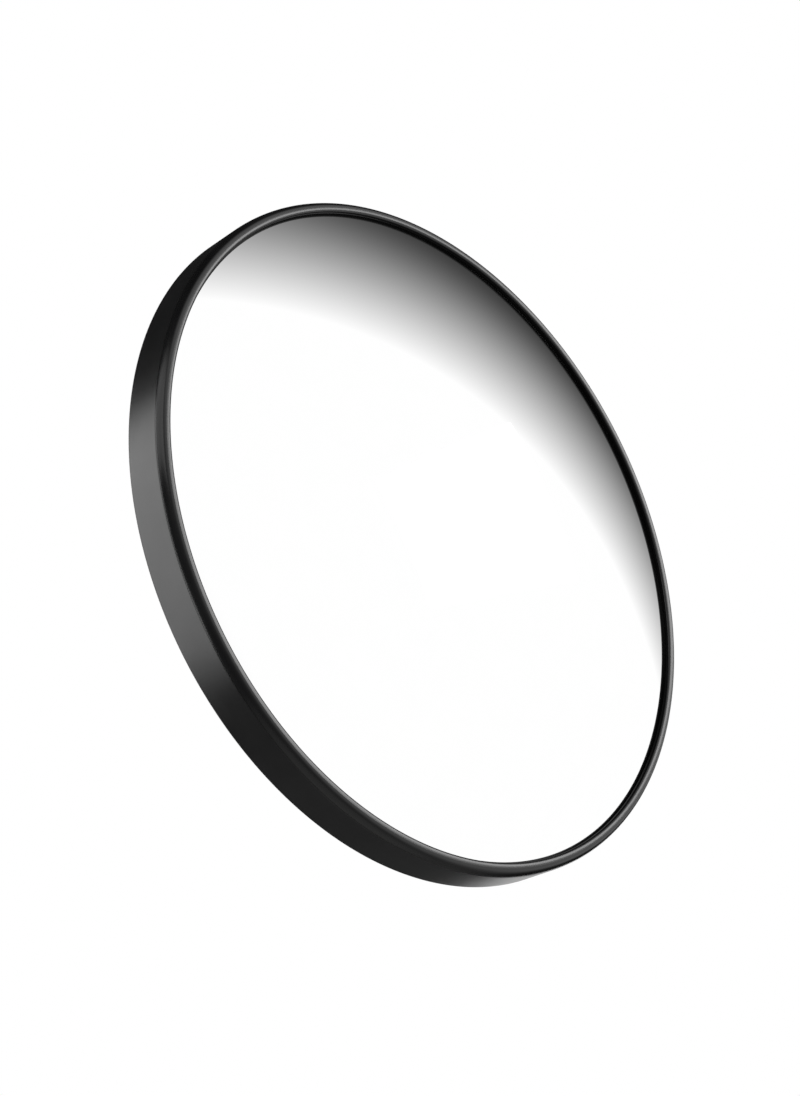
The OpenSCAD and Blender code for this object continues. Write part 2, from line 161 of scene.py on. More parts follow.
class BracketSizes(bpy.types.PropertyGroup):
    """Sizes of the bracket and its hardware."""

    edge_round: metres("Edge", 0.6 * MM, "Rounding of the cut steel edges")
    fork_base_thickness: metres("Fork base", 4 * MM, "Thickness of the fork's base plate")
    fork_corner: metres("Fork corner", 8 * MM, "Corner radius of the fork's base plate")
    fork_ear_thickness: metres("Fork ear", 4 * MM, "Thickness of each fork ear")
    fork_bolt_radius: metres("Fork bolt", 2.5 * MM, "Radius of the fork bolts")
    fork_bolt_pitch: metres("Fork bolt pitch", 64 * MM, "Distance between neighbouring fork bolts")
    fork_hex: metres("Hexagon", 8 * MM, "Width across flats of the fork bolts and nuts")
    fork_head_height: metres("Fork bolt head", 3.5 * MM, "Height of a fork bolt's head")
    fork_thread_pitch: metres("Fork thread", 0.8 * MM, "Thread pitch of the fork bolts")
    hole_room: metres("Hole room", 0.25 * MM, "Extra radius of a bolt hole over its bolt")
    pivot_radius: metres("Pivot radius", 4 * MM, "Radius of the pivot bolts")
    pivot_thread_pitch: metres("Pivot thread", 1.25 * MM, "Thread pitch of the pivot bolts")
    pivot_play: metres("Pivot play", 0.05 * MM, "Running clearance between a bolt and its bush")
    bush_radius: metres("Bush radius", 5.98 * MM, "Outside radius of a bush's sleeve")
    press_gap: metres("Press gap", 0.02 * MM, "Gap drawn at a press fit")
    bush_flange: metres("Bush flange", 1 * MM, "Thickness of a bush's flange")
    bolt_head_height: metres("Bolt head", 4.5 * MM, "Height of a pivot bolt's round head")
    beam_width: metres("Beam width", 18 * MM, "Width of the arm's beam")
    beam_height: metres("Beam height", 20 * MM, "Height of the arm's beam")
    beam_round: metres("Beam edge", 4 * MM, "Edge radius of the arm's beam")
    tilt_eye_radius: metres("Tilt eye", 13 * MM, "Radius of the arm's horizontal eye")
    pan_eye_radius: metres("Pan eye", 14 * MM, "Radius of the arm's vertical eye")
    knob_radius: metres("Knob radius", 18 * MM, "Radius over the knob's lobes")
    knob_waist: metres("Knob waist", 12.5 * MM, "Radius between the knob's lobes")
    knob_boss_radius: metres("Knob boss", 10 * MM, "Radius of the knob's boss")
    knob_boss_height: metres("Boss height", 3 * MM, "Height of the knob's boss")
    insert_flats: metres("Insert", 13 * MM, "Width across flats of a knob's insert")
    insert_height: metres("Insert height", 10 * MM, "Height of a knob's insert")
    knob_lobes: whole("Lobes", 5, "Lobes of a clamp knob")
    plate_thickness: metres("Plate", 4 * MM, "Thickness of the wall plate")
    plate_corner: metres("Plate corner", 10 * MM, "Corner radius of the wall plate")
    pan_ear_thickness: metres("Pan ear", 5 * MM, "Thickness of each pan ear")
    weld_radius: metres("Weld", 1.7 * MM, "Radius of the weld beads")


class FinishColours(bpy.types.PropertyGroup):
    """Colours of the finishes."""

    rim: colour("Rim", (0.004, 0.004, 0.0042), "Black of the rim ring")
    casing: colour("Casing", (0.0045, 0.0045, 0.0047), "Black of the casing")
    silver: colour("Mirror", (1.0, 1.0, 1.0), "Silvering of the mirror")
    galvanising: colour("Galvanising", (0.50, 0.52, 0.54), "Galvanising of the wall plate and the fork")
    casting: colour("Casting", (0.022, 0.022, 0.023), "Paint of the cast arm")
    knob: colour("Knob", (0.018, 0.018, 0.018), "Black of the knobs")
    zinc: colour("Zinc", (0.62, 0.63, 0.66), "Zinc plating of the fasteners")
    nylon: colour("Nylon", (0.76, 0.74, 0.66), "Natural nylon of the bushes")
    brass: colour("Brass", (0.74, 0.53, 0.19), "Brass of the knob inserts")
    foam: colour("Foam", (0.05, 0.05, 0.053), "Foam of the gasket")


class StageSettings(bpy.types.PropertyGroup):
    """Camera, light and floor."""

    view_azimuth: degrees("Azimuth", -43.43, "Camera's turn about the vertical")
    view_elevation: degrees("Elevation", -28.08, "Camera's height angle")
    view_distance: metres("Distance", 1.345, "Camera's distance from the mirror's middle")
    view_aside: metres("Aside", -25.4 * MM, "Camera moved sideways for the framing")
    view_raise: metres("Raise", -13.2 * MM, "Camera moved up for the framing")
    lens: number("Lens", 69.96, "Focal length in millimetres")
    floor_height: metres("Floor", -1.25, "Height of the floor")
    floor_radius: metres("Floor radius", 1.25, "Radius of the floor")
    floor_colour: colour("Floor colour", (0.80, 0.80, 0.79), "Pale floor")
    ambient: number("Ambient", 0.55, "World light on diffuse surfaces")
    second_bounce: number("Second bounce", 0.06, "Share of the light left in a reflection of a reflection")
    bright_side: direction("Bright side", (0.607, -0.642, 0.468), "White backdrop in reflections")
    dark_side: direction("Dark side", (-0.178, 0.709, 0.683), "Dark part of the room")
    dark_corner: direction("Dark corner", (0.955, 0.256, -0.15), "Dark gap between the lamps on the right")


# Modelling by hand

def clear_selection():
    """Leaves edit mode and deselects every object."""
    if bpy.context.mode != "OBJECT":
        bpy.ops.object.mode_set(mode="OBJECT")
    bpy.ops.object.select_all(action="DESELECT")


def pick(*pieces):
    """Selects the pieces and makes the first one active."""
    clear_selection()
    for piece in pieces:
        piece.select_set(True)
    bpy.context.view_layer.objects.active = pieces[0]


def rounded_outline(corners, arc_steps=6):
    """Closed outline through (across, along, radius) corners, each rounded by an arc of its radius."""
    points = []
    for index, (across, along, radius) in enumerate(corners):
        here = Vector((across, along))
        if not radius:
            points.append(here)
            continue
        back = (Vector(corners[index - 1][:2]) - here).normalized()
        ahead = (Vector(corners[(index + 1) % len(corners)][:2]) - here).normalized()
        half = back.angle(ahead) / 2
        centre = here + (back + ahead).normalized() * radius / math.sin(half)
        reach = radius / math.tan(half)
        start = here + back * reach - centre
        end = here + ahead * reach - centre
        turns = [start.slerp(end, step / arc_steps).normalized() for step in range(arc_steps + 1)]
        points += [centre + turn * radius for turn in turns]
    return points


def arc(centre, radius, start, end, steps):
    """Points of an arc from one angle to another."""
    angles = [start + (end - start) * step / steps for step in range(steps + 1)]
    return [(centre[0] + radius * math.cos(a), centre[1] + radius * math.sin(a)) for a in angles]


def draw_outline(name, points, closed=True):
    """Draws a line by extruding one vertex from point to point, and leaves it in edit mode."""
    clear_selection()
    bpy.ops.mesh.primitive_plane_add(size=MM)
    line = bpy.context.object
    line.name = name
    bpy.ops.object.mode_set(mode="EDIT")
    bpy.ops.mesh.merge(type="CENTER")
    bpy.ops.transform.translate(value=points[0])
    path = points + points[:1] if closed else points
    for here, there in zip(path, path[1:]):
        bpy.ops.mesh.extrude_region_move(TRANSFORM_OT_translate={"value": there - here})
    bpy.ops.mesh.select_all(action="SELECT")
    bpy.ops.mesh.remove_doubles(threshold=MERGE)
    return line


def close_up():
    """Merges doubles in edit mode, turns the faces outwards and goes back to object mode."""
    bpy.ops.mesh.select_all(action="SELECT")
    bpy.ops.mesh.remove_doubles(threshold=MERGE)
    bpy.ops.mesh.normals_make_consistent(inside=False)
    bpy.ops.object.mode_set(mode="OBJECT")


def lathe(name, outline, steps, closed=True):
    """Spins an outline of (radius, height) points about the Z axis."""
    piece = draw_outline(name, [Vector((p[0], 0, p[1])) for p in outline], closed)
    bpy.ops.mesh.spin(steps=steps, angle=math.tau, center=(0, 0, 0), axis=Z_AXIS)
    close_up()
    return piece


def prism(name, outline, height):
    """Fills an outline of (x, y) points and extrudes it up by the height."""
    return loft(name, outline, [(0, 1), (height, 1)])


def loft(name, outline, levels):
    """Fills an outline and extrudes it through (height, scale) levels, which round its ends."""
    height, scale = levels[0]
    piece = draw_outline(name, [Vector((p[0] * scale, p[1] * scale, height)) for p in outline])
    bpy.ops.mesh.edge_face_add()
    for next_height, next_scale in levels[1:]:
        rise = Z_AXIS * (next_height - height)
        change = next_scale / scale
        bpy.ops.mesh.extrude_region_move(TRANSFORM_OT_translate={"value": rise})
        bpy.ops.transform.resize(value=(change, change, 1), center_override=(0, 0, 0))
        height, scale = next_height, next_scale
    close_up()
    return piece


def put(piece, place=(0, 0, 0), turn=(0, 0, 0)):
    """Turns and moves a piece, and applies both to its mesh."""
    pick(piece)
    piece.rotation_euler = turn
    piece.location = place
    bpy.ops.object.transform_apply(location=True, rotation=True, scale=True)
    return piece


def copy_of(piece):
    """A copy with a mesh of its own."""
    pick(piece)
    bpy.ops.object.duplicate()
    return bpy.context.object


def join(name, pieces):
    """Joins pieces into one object."""
    pick(*pieces)
    bpy.ops.object.join()
    whole = bpy.context.object
    whole.name = name
    return whole


def modify(piece, kind, **settings):
    """Adds a modifier with its settings and applies it to the piece's mesh."""
    change = piece.modifiers.new(kind.lower(), kind)
    for name, value in settings.items():
        setattr(change, name, value)
    pick(piece)
    bpy.ops.object.modifier_apply(modifier=change.name)


def combine(piece, tools, operation):
    """Unites, cuts or intersects a piece with tools that stand apart from each other and are used up."""
    tool = join("tools", tools)
    before = len(piece.data.vertices)
    modify(piece, "BOOLEAN", operation=operation, solver="MANIFOLD", object=tool)
    if len(piece.data.vertices) == before:
        raise RuntimeError("The tools of " + piece.name + " had no effect")
    bpy.data.objects.remove(tool)
    return piece


def round_edges(piece, width):
    """Rounds the sharp edges of a piece."""
    modify(piece, "BEVEL", width=width, segments=3, limit_method="ANGLE",
           angle_limit=SMOOTH_ANGLE, miter_outer="MITER_ARC")


def smooth(piece, limit=SMOOTH_ANGLE):
    """Smooth shading with edges over the limit kept sharp."""
    pick(piece)
    bpy.ops.object.shade_smooth_by_angle(angle=limit)
    return piece


def even_shading(piece):
    """Smooth shading with sharp edges kept and flat faces shaded flat."""
    smooth(piece)
    modify(piece, "WEIGHTED_NORMAL", keep_sharp=True)


def bar(name, radius, low, high, steps=64):
    """A plain round bar along Z, as a cutter or the start of a piece."""
    clear_selection()
    bpy.ops.mesh.primitive_cylinder_add(vertices=steps, radius=radius, depth=high - low)
    piece = bpy.context.object
    piece.name = name
    return put(piece, (0, 0, (low + high) / 2))


def block(name, low, high):
    """A plain block between two corners, as a cutter or the start of a piece."""
    clear_selection()
    low = Vector(low)
    high = Vector(high)
    bpy.ops.mesh.primitive_cube_add(size=1, location=(low + high) / 2, scale=high - low)
    piece = bpy.context.object
    piece.name = name
    bpy.ops.object.transform_apply(location=True, rotation=True, scale=True)
    return piece


def four_drills(hole, low, high, middle, across, along, turn=(0, 0, 0)):
    """Round cutters at the four corners of a hole pattern about its middle."""
    return [put(bar("drill", hole, low, high), middle + across * x + along * y, turn)
            for x in (-1, 1) for y in (-1, 1)]


def finish(piece, body, finish_of, slot, *nodes):
    """Gives a piece its material and body, and hides the CAD nodes it stands for; the slot is not used."""
    piece.data.materials.clear()
    piece.data.materials.append(finish_of())
    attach(piece, body)
    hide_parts(*nodes)


def rectangle(width, height, corner):
    """Outline of a rectangle about the middle with rounded corners."""
    w = width / 2
    h = height / 2
    return rounded_outline([(-w, -h, corner), (w, -h, corner), (w, h, corner), (-w, h, corner)], 8)


def ear(end_radius, root):
    """Outline of an ear: a round end about the origin and straight sides out to its root along X."""
    round_end = arc((0, 0), end_radius, QUARTER, 3 * QUARTER, 40)
    return round_end + [(root, -end_radius), (root, end_radius)]


# Finishes

NOISE_LOW = 0.3
NOISE_HIGH = 0.7


def start_material(name):
    """A new material, its node tree and its shader, or None for the last two if it exists already."""
    if name in bpy.data.materials:
        return bpy.data.materials[name], None, None
    material = bpy.data.materials.new(name)
    material.use_nodes = True
    tree = material.node_tree
    return material, tree, tree.nodes["Principled BSDF"]


def add_node(tree, kind, inputs=None, **settings):
    """Adds a node with its settings, and links or sets its inputs."""
    added = tree.nodes.new(kind)
    for name, value in settings.items():
        setattr(added, name, value)
    for socket, value in (inputs or {}).items():
        if isinstance(value, bpy.types.NodeSocket):
            tree.links.new(value, added.inputs[socket])
        else:
            added.inputs[socket].default_value = value
    return added


def remap(tree, value, low, high, to_low, to_high):
    """Carries a value from one range to another, as a socket."""
    span = add_node(tree, "ShaderNodeMapRange", {
        "Value": value, "From Min": low, "From Max": high, "To Min": to_low, "To Max": to_high})
    return span.outputs["Result"]


def object_noise(tree, scale, detail, stretch=(1, 1, 1)):
    """Noise on object coordinates, as its factor socket."""
    place = add_node(tree, "ShaderNodeTexCoord")
    spread = add_node(tree, "ShaderNodeMapping", {"Vector": place.outputs["Object"], "Scale": stretch})
    noise = add_node(tree, "ShaderNodeTexNoise", {
        "Vector": spread.outputs["Vector"], "Scale": scale, "Detail": detail})
    return noise.outputs["Fac"]


def vary(tree, factor, low, high, socket):
    """Drives a number socket between two values."""
    tree.links.new(remap(tree, factor, NOISE_LOW, NOISE_HIGH, low, high), socket)


def tint(tree, factor, dark, light, socket):
    """Drives a colour socket between two colours."""
    ramp = add_node(tree, "ShaderNodeValToRGB", {"Fac": factor})
    for stop, position, tone in zip(ramp.color_ramp.elements, (NOISE_LOW, NOISE_HIGH), (dark, light)):
        stop.position = position
        stop.color = (*tone, 1)
    tree.links.new(ramp.outputs["Color"], socket)


def relief(tree, shader, heights):
    """Adds bumps of (height socket, depth in metres, strength) to a shader, one over the other."""
    normal = None
    for height, depth, strength in heights:
        bump = add_node(tree, "ShaderNodeBump", {"Height": height, "Distance": depth, "Strength": strength})
        if normal:
            tree.links.new(normal, bump.inputs["Normal"])
        normal = bump.outputs["Normal"]
    tree.links.new(normal, shader.inputs["Normal"])


def shade(base, factor):
    """A colour made darker or lighter."""
    return tuple(min(1.0, part * factor) for part in base)


def surface(name, noises, tones, gloss, bumps, metallic=0.0):
    """A material whose tones, gloss and bumps each follow a named noise."""
    material, tree, shader = start_material(name)
    if tree:
        factors = {key: object_noise(tree, *settings) for key, settings in noises.items()}
        tint(tree, factors[tones[0]], *tones[1:], shader.inputs["Base Color"])
        vary(tree, factors[gloss[0]], *gloss[1:], shader.inputs["Roughness"])
        shader.inputs["Metallic"].default_value = metallic
        relief(tree, shader, [(factors[key], depth, strength) for key, depth, strength in bumps])
    return material


def colours():
    """The finish colours of the scene."""
    return bpy.context.scene.mirror_colours


def moulded_black(name, base, roughness, grain_depth):
    """Moulded black plastic: a fine mould grain, a faint flow mottle and an uneven satin gloss."""
    return surface(
        name, {"grain": (2600, 3), "mottle": (34, 4)},
        ("mottle", shade(base, 0.85), shade(base, 1.2)), ("mottle", roughness * 0.92, roughness * 1.1),
        [("grain", grain_depth, 0.35), ("mottle", 8e-6, 0.2)])


def rim_black():
    """Satin gloss black of the rim ring."""
    return moulded_black("rim_black_plastic", colours().rim, 0.22, 3e-6)


def casing_black():
    """Satin black of the casing."""
    return moulded_black("casing_black_plastic", colours().casing, 0.30, 5e-6)


def knob_black():
    """Matt black of the clamp knobs."""
    return moulded_black("knob_black_plastic", colours().knob, 0.46, 2e-5)


def silvered_acrylic():
    """Silvered acrylic: a polished mirror with the faint waviness of a formed sheet."""
    silver = colours().silver
    return surface(
        "silvered_acrylic", {"haze": (55, 5), "wave": (9, 1)},
        ("haze", shade(silver, 0.995), silver), ("haze", 0.012, 0.02), [("wave", 3e-5, 0.3)], metallic=1.0)


def casting_paint():
    """Paint on the cast arm: orange peel over the sand grain, with a soft sheen and faint dust."""
    base = colours().casting
    return surface(
        "painted_casting", {"peel": (620, 2), "speck": (3000, 2), "dust": (70, 6)},
        ("dust", shade(base, 0.85), shade(base, 1.35)), ("dust", 0.36, 0.5),
        [("peel", 4e-5, 0.45), ("speck", 6e-6, 0.25)])


def galvanised_steel():
    """Galvanising: a spangle of zinc crystals, each with its own tone and gloss, gone a little dull."""
    material, tree, shader = start_material("galvanised_steel")
    if tree:
        base = colours().galvanising
        place = add_node(tree, "ShaderNodeTexCoord")
        spangle = add_node(tree, "ShaderNodeTexVoronoi", {"Vector": place.outputs["Object"], "Scale": 170})
        crystal = add_node(tree, "ShaderNodeRGBToBW", {"Color": spangle.outputs["Color"]}).outputs["Val"]
        dull = object_noise(tree, 420, 4)
        tint(tree, crystal, shade(base, 0.62), shade(base, 1.28), shader.inputs["Base Color"])
        shader.inputs["Metallic"].default_value = 1.0
        vary(tree, crystal, 0.30, 0.54, shader.inputs["Roughness"])
        relief(tree, shader, [(spangle.outputs["Distance"], 6e-5, 0.2), (dull, 2e-5, 0.3)])
    return material


def zinc_plating():
    """Zinc plating: pale metal with a faint blue and straw bloom, fine scratches and dull patches."""
    zinc = colours().zinc
    straw = (zinc[0] * 1.06, zinc[1] * 1.02, zinc[2] * 0.9)
    return surface(
        "zinc_plating", {"bloom": (150, 3), "scratch": (900, 2, (1, 9, 1))},
        ("bloom", shade(zinc, 0.92), straw), ("scratch", 0.26, 0.42), [("scratch", 4e-6, 0.3)], metallic=1.0)


def natural_nylon():
    """Natural nylon: a waxy off-white with a little light passing through it."""
    nylon = colours().nylon
    material = surface(
        "natural_nylon", {"cloud": (160, 3)},
        ("cloud", shade(nylon, 0.94), shade(nylon, 1.04)), ("cloud", 0.34, 0.44), [("cloud", 1e-5, 0.2)])
    shader = material.node_tree.nodes["Principled BSDF"]
    shader.inputs["Subsurface Weight"].default_value = 0.15
    shader.inputs["Subsurface Radius"].default_value = (0.0012, 0.001, 0.0007)
    return material


def turned_brass():
    """Turned brass of the knob inserts, with tool marks round it."""
    brass = colours().brass
    return surface(
        "turned_brass", {"marks": (1400, 2)},
        ("marks", shade(brass, 0.86), brass), ("marks", 0.25, 0.4), [("marks", 6e-6, 0.3)], metallic=1.0)


def cell_foam():
    """Closed cell foam of the gasket, with open cells along the cut."""
    foam = colours().foam
    return surface(
        "cell_foam", {"cells": (1800, 5)},
        ("cells", shade(foam, 0.5), shade(foam, 1.3)), ("cells", 0.8, 0.95), [("cells", 2e-4, 0.6)])


# Pieces of the mirror head

def bead_plane(head):
    """Where the middle of the bead lies along Y."""
    return RIM_LOW.y + head.bead_radius


def skirt_outside(head):
    """Outside radius of the rim's skirt."""
    return head.rim_radius - head.casing_wall - head.fit_gap


def flange_radius(head):
    """Outside radius of the mirror's clamped edge."""
    return skirt_outside(head) - head.skirt_thickness - head.fit_gap


def lip_underside(head):
    """Where the underside of the bead's lip lies, behind the bead's middle."""
    return head.lip_thickness - head.bead_radius


def lip_radius(head):
    """Radius of the bead's inner edge, where the mirror shows."""
    return head.rim_radius - head.bead_radius - head.bead_inside


def bead_inner_half(head):
    """Section of the bead's inner half, upright at the mirror's edge and level at the crest."""
    crest = head.rim_radius - head.bead_radius
    power = 2 / head.bead_fullness
    steps = 36
    points = []
    for step in range(steps + 1):
        turn = QUARTER * step / steps
        inward = head.bead_inside * max(0.0, math.cos(turn)) ** power
        forward = head.lip_thickness * math.sin(turn) ** power
        points.append((crest - inward, lip_underside(head) - forward))
    return points


def shoulder_radius(head, depth):
    """Radius of the bead's outer side at a depth behind the bead's middle, where it eases into the wall."""
    rise = min(1.0, (depth + head.bead_radius) / head.shoulder)
    return head.rim_radius - head.bead_radius * (1 - math.sqrt(1 - (1 - rise) ** 2))


def on_head_axis(piece, head):
    """Puts a piece turned about Z on the head's axis, its heights running from the bead to the wall."""
    return put(piece, (0, bead_plane(head), 0), ALONG_Y)


class MIRROR_OT_rim_ring(bpy.types.Operator):
    """Turns the rim ring: bead, flat underside, skirt and snap barb"""

    bl_idname = "security_mirror.rim_ring"
    bl_label = "Rim ring"

    def execute(self, context):
        head = context.scene.mirror_head
        shoulder_turn = math.acos(1 - (head.lip_back + head.bead_radius) / head.shoulder)
        shoulder_steps = 32
        outside = skirt_outside(head)
        inside = outside - head.skirt_thickness
        end = RIM_HIGH.y - bead_plane(head)
        barb = end - head.barb_length
        half = head.barb_length / 2
        outline = bead_inner_half(head)
        for step in range(1, shoulder_steps + 1):
            depth = head.shoulder * (1 - math.cos(shoulder_turn * step / shoulder_steps)) - head.bead_radius
            outline.append((shoulder_radius(head, depth), depth))
        outline += [
            (outside, head.lip_back),
            (outside, barb - half),
            (outside + head.barb_height, barb - half),
            (outside + head.barb_height, barb),
            (outside, barb + half),
            (outside, end),
            (inside, end),
            (inside, lip_underside(head)),
        ]
        rim = smooth(on_head_axis(lathe("rim_ring_moulded", outline, head.steps), head))
        finish(rim, "mirror_head", rim_black, "rim_plastic", "rim_ring")
        return {"FINISHED"}


class MIRROR_OT_dome(bpy.types.Operator):
    """Turns the bulging mirror with its flat clamped edge"""

    bl_idname = "security_mirror.dome"
    bl_label = "Mirror dome"

    def execute(self, context):
        head = context.scene.mirror_head
        front = DOME_LOW.y - bead_plane(head)
        edge_front = lip_underside(head) + head.fit_gap
        rise = edge_front - front
        edge = lip_radius(head) + head.fit_gap
        ball = (edge ** 2 + rise ** 2) / (2 * rise)
        middle = front + ball
        inner_ball = ball - head.dome_thickness
        edge_back = edge_front + head.dome_thickness
        front_sweep = math.asin(edge / ball)
        back_sweep = math.acos((middle - edge_back) / inner_ball)
        down = -QUARTER
        front_steps = 64
        back_steps = 32
        outline = arc((0, middle), ball, down, down + front_sweep, front_steps)
        outline += [(flange_radius(head), edge_front), (flange_radius(head), edge_back)]
        outline += arc((0, middle), inner_ball, down + back_sweep, down, back_steps)
        dome = on_head_axis(lathe("mirror_dome_silvered", outline, head.steps, closed=False), head)
        smooth(dome, DOME_SMOOTH_ANGLE)
        finish(dome, "mirror_head", silvered_acrylic, "mirror_acrylic", "mirror_dome")
        return {"FINISHED"}


class MIRROR_OT_casing(bpy.types.Operator):
    """Turns the casing, ribs its back and drills it for the fork bolts"""

    bl_idname = "security_mirror.casing"
    bl_label = "Casing"

    def execute(self, context):
        head = context.scene.mirror_head
        bracket = context.scene.mirror_bracket
        plane = bead_plane(head)
        front = CASING_LOW.y - plane
        pad_back = CASING_HIGH.y - plane
        pad_front = pad_back - head.panel_thickness
        panel_back = head.casing_depth - head.panel_recess
        panel_front = panel_back - head.panel_thickness
        wall = head.rim_radius - head.casing_wall
        seat_in = flange_radius(head) - head.gasket_width
        seat_out = seat_in + head.seat_width
        seat = lip_underside(head) + head.fit_gap + head.dome_thickness + head.gasket_thickness
        pad = head.pad_radius
        step = pad - head.panel_thickness
        barb = RIM_HIGH.y - plane - head.barb_length
        groove_half = head.barb_length / 2 + head.fit_gap
        groove = skirt_outside(head) + head.barb_height + head.fit_gap
        outline = rounded_outline([
            (wall, front, 0.2 * MM),
            (shoulder_radius(head, front), front, 0.06 * MM),
            (head.rim_radius, head.shoulder - head.bead_radius, 0.4 * MM),
            (head.rim_radius, head.casing_depth, 1.0 * MM),
            (wall, head.casing_depth, 0.5 * MM),
            (wall, panel_back, 0.8 * MM),
            (pad, panel_back, 0.8 * MM),
            (pad, pad_back, 1.2 * MM),
            (0, pad_back, 0),
            (0, pad_front, 0),
            (step, pad_front, 0.6 * MM),
            (step, panel_front, 0.6 * MM),
            (seat_in, panel_front, 0),
            (seat_in, seat, 0),
            (seat_out, seat, 0),
            (seat_out, panel_front, 0),
            (wall, panel_front, 0),
            (wall, barb + groove_half, 0),
            (groove, barb + groove_half, 0),
            (groove, barb - groove_half, 0),
            (wall, barb - groove_half, 0),
        ])
        start = outline.index(next(p for p in outline if p.x == 0)) + 1
        outline = outline[start:] + outline[:start]
        casing = lathe("casing_moulded", outline, head.steps, closed=False)
        sunk = 0.4 * MM
        rib_round = 0.35 * MM
        rib_back = head.casing_depth - 0.1 * MM
        ribs = []
        for index in range(head.rib_count):
            rib = block("rib", (pad - sunk, -head.rib_width / 2, panel_back - sunk),
                        (wall + sunk, head.rib_width / 2, rib_back))
            round_edges(rib, rib_round)
            ribs.append(put(rib, turn=(0, 0, math.tau * (index + 0.5) / head.rib_count)))
        combine(casing, ribs, "UNION")
        reach = bracket.fork_bolt_pitch / 2
        hole = bracket.fork_bolt_radius + bracket.hole_room
        drills = four_drills(
            hole, pad_front - MM, pad_back + MM, Vector(), X_AXIS * reach, Y_AXIS * reach)
        combine(casing, drills, "DIFFERENCE")
        on_head_axis(casing, head)
        even_shading(casing)
        finish(casing, "mirror_head", casing_black, "casing_plastic", "casing")
        return {"FINISHED"}


# Pieces of the bracket

def hexagon(name, across_flats, height):
    """A hexagon bar whose end corners are turned off, standing on the origin."""
    corner = across_flats / math.sqrt(3)
    flat = across_flats * 0.485
    reach = corner * 1.02
    chamfer = math.radians(30)
    slope = (reach - flat) * math.tan(chamfer)
    outline = [(0, 0), (flat, 0), (reach, slope), (reach, height - slope), (flat, height), (0, height)]
    nut = prism(name, arc((0, 0), corner, 0, math.tau * 5 / 6, 5), height)
    return combine(nut, [lathe("turned_ends", outline, 64, closed=False)], "INTERSECT")


def thread_ridges(radius, pitch, start, end):
    """Outline of thread ridges from one height to another."""
    points = []
    depth = pitch * 0.5
    ridges = int((end - start) / pitch)
    for ridge in range(ridges):
        low = start + ridge * pitch
        points += [(radius, low), (radius - depth, low + pitch / 2)]
    return points + [(radius, start + ridges * pitch)]


def washer(name, hole, radius, thickness):
    """A flat washer with broken edges, standing on the origin."""
    edge = 0.18 * MM
    return lathe(name, rounded_outline([
        (hole, 0, edge), (radius, 0, edge), (radius, thickness, 2 * edge), (hole, thickness, edge)], 3), 64)


def weld_bead(name, radius, run):
    """A rippled weld bead that runs up Z from the origin."""
    ripples = round(run / (radius * 0.8))
    steps = ripples * 5
    outline = [(0, 0)]
    for step in range(steps + 1):
        along = run * step / steps
        swell = 0.84 + 0.16 * abs(math.sin(math.pi * step / 5))
        ends = min(1.0, 0.35 + along / radius, 0.35 + (run - along) / radius)
        outline.append((radius * swell * ends, along))
    outline.append((0, run))
    return lathe(name, outline, 20, closed=False)


def weld_on(piece, radius, run, places, turn=(0, 0, 0)):
    """Welds copies of one bead to a piece, which keeps its name."""
    name = piece.name
    bead = weld_bead("weld", radius, run)
    beads = [smooth(put(copy_of(bead), place, turn), WELD_SMOOTH_ANGLE) for place in places]
    bpy.data.objects.remove(bead)
    return join(name, [piece, *beads])


class MIRROR_OT_fork_hardware(bpy.types.Operator):
    """Models a hex bolt, a washer and a chamfered nut, and copies them to the fork's four holes"""

    bl_idname = "security_mirror.fork_hardware"
    bl_label = "Fork bolts, washers and nuts"

    def execute(self, context):
        bracket = context.scene.mirror_bracket
        radius = bracket.fork_bolt_radius
        nut_height = NUTS_HIGH.y - NUTS_LOW.y
        length = FORK_BOLTS_HIGH.y - FORK_BOLTS_LOW.y
        head_height = bracket.fork_head_height
        thread = 11 * MM
        point = 0.7 * MM
        ridges = thread_ridges(radius, bracket.fork_thread_pitch, length - thread, length - point)
        outline = [(0, 0), (radius, 0), *ridges, (radius * 0.7, length), (0, length)]
        shank = lathe("shank", outline, 40, closed=False)
        bolt = join("bolt", [hexagon("bolt_head", bracket.fork_hex, head_height), shank])
        nut = hexagon("nut", bracket.fork_hex, nut_height)
        combine(nut, [bar("drill", radius, -MM, nut_height + MM, 48)], "DIFFERENCE")
        reach = bracket.fork_bolt_pitch / 2
        ring = washer("washer", radius + bracket.hole_room, FORK_WASHERS_HIGH.x - reach,
                      FORK_WASHERS_HIGH.y - FORK_WASHERS_LOW.y)
        for piece, node, start, spin in (
                (bolt, "fork_bolts", FORK_BOLTS_LOW.y, 0.0),
                (ring, "fork_washers", FORK_WASHERS_LOW.y, 0.0),
                (nut, "fork_nuts", NUTS_LOW.y, 0.4)):
            copies = []
            for index, (x, z) in enumerate(((-1, -1), (1, -1), (-1, 1), (1, 1))):
                one = put(copy_of(piece), turn=(0, 0, spin * index))
                copies.append(put(one, (x * reach, start, z * reach), ALONG_Y))
            bpy.data.objects.remove(piece)
            group = join(node + "_plated", copies)
            smooth(group)
            finish(group, "mirror_head", zinc_plating, "zinc_steel", node)
        return {"FINISHED"}


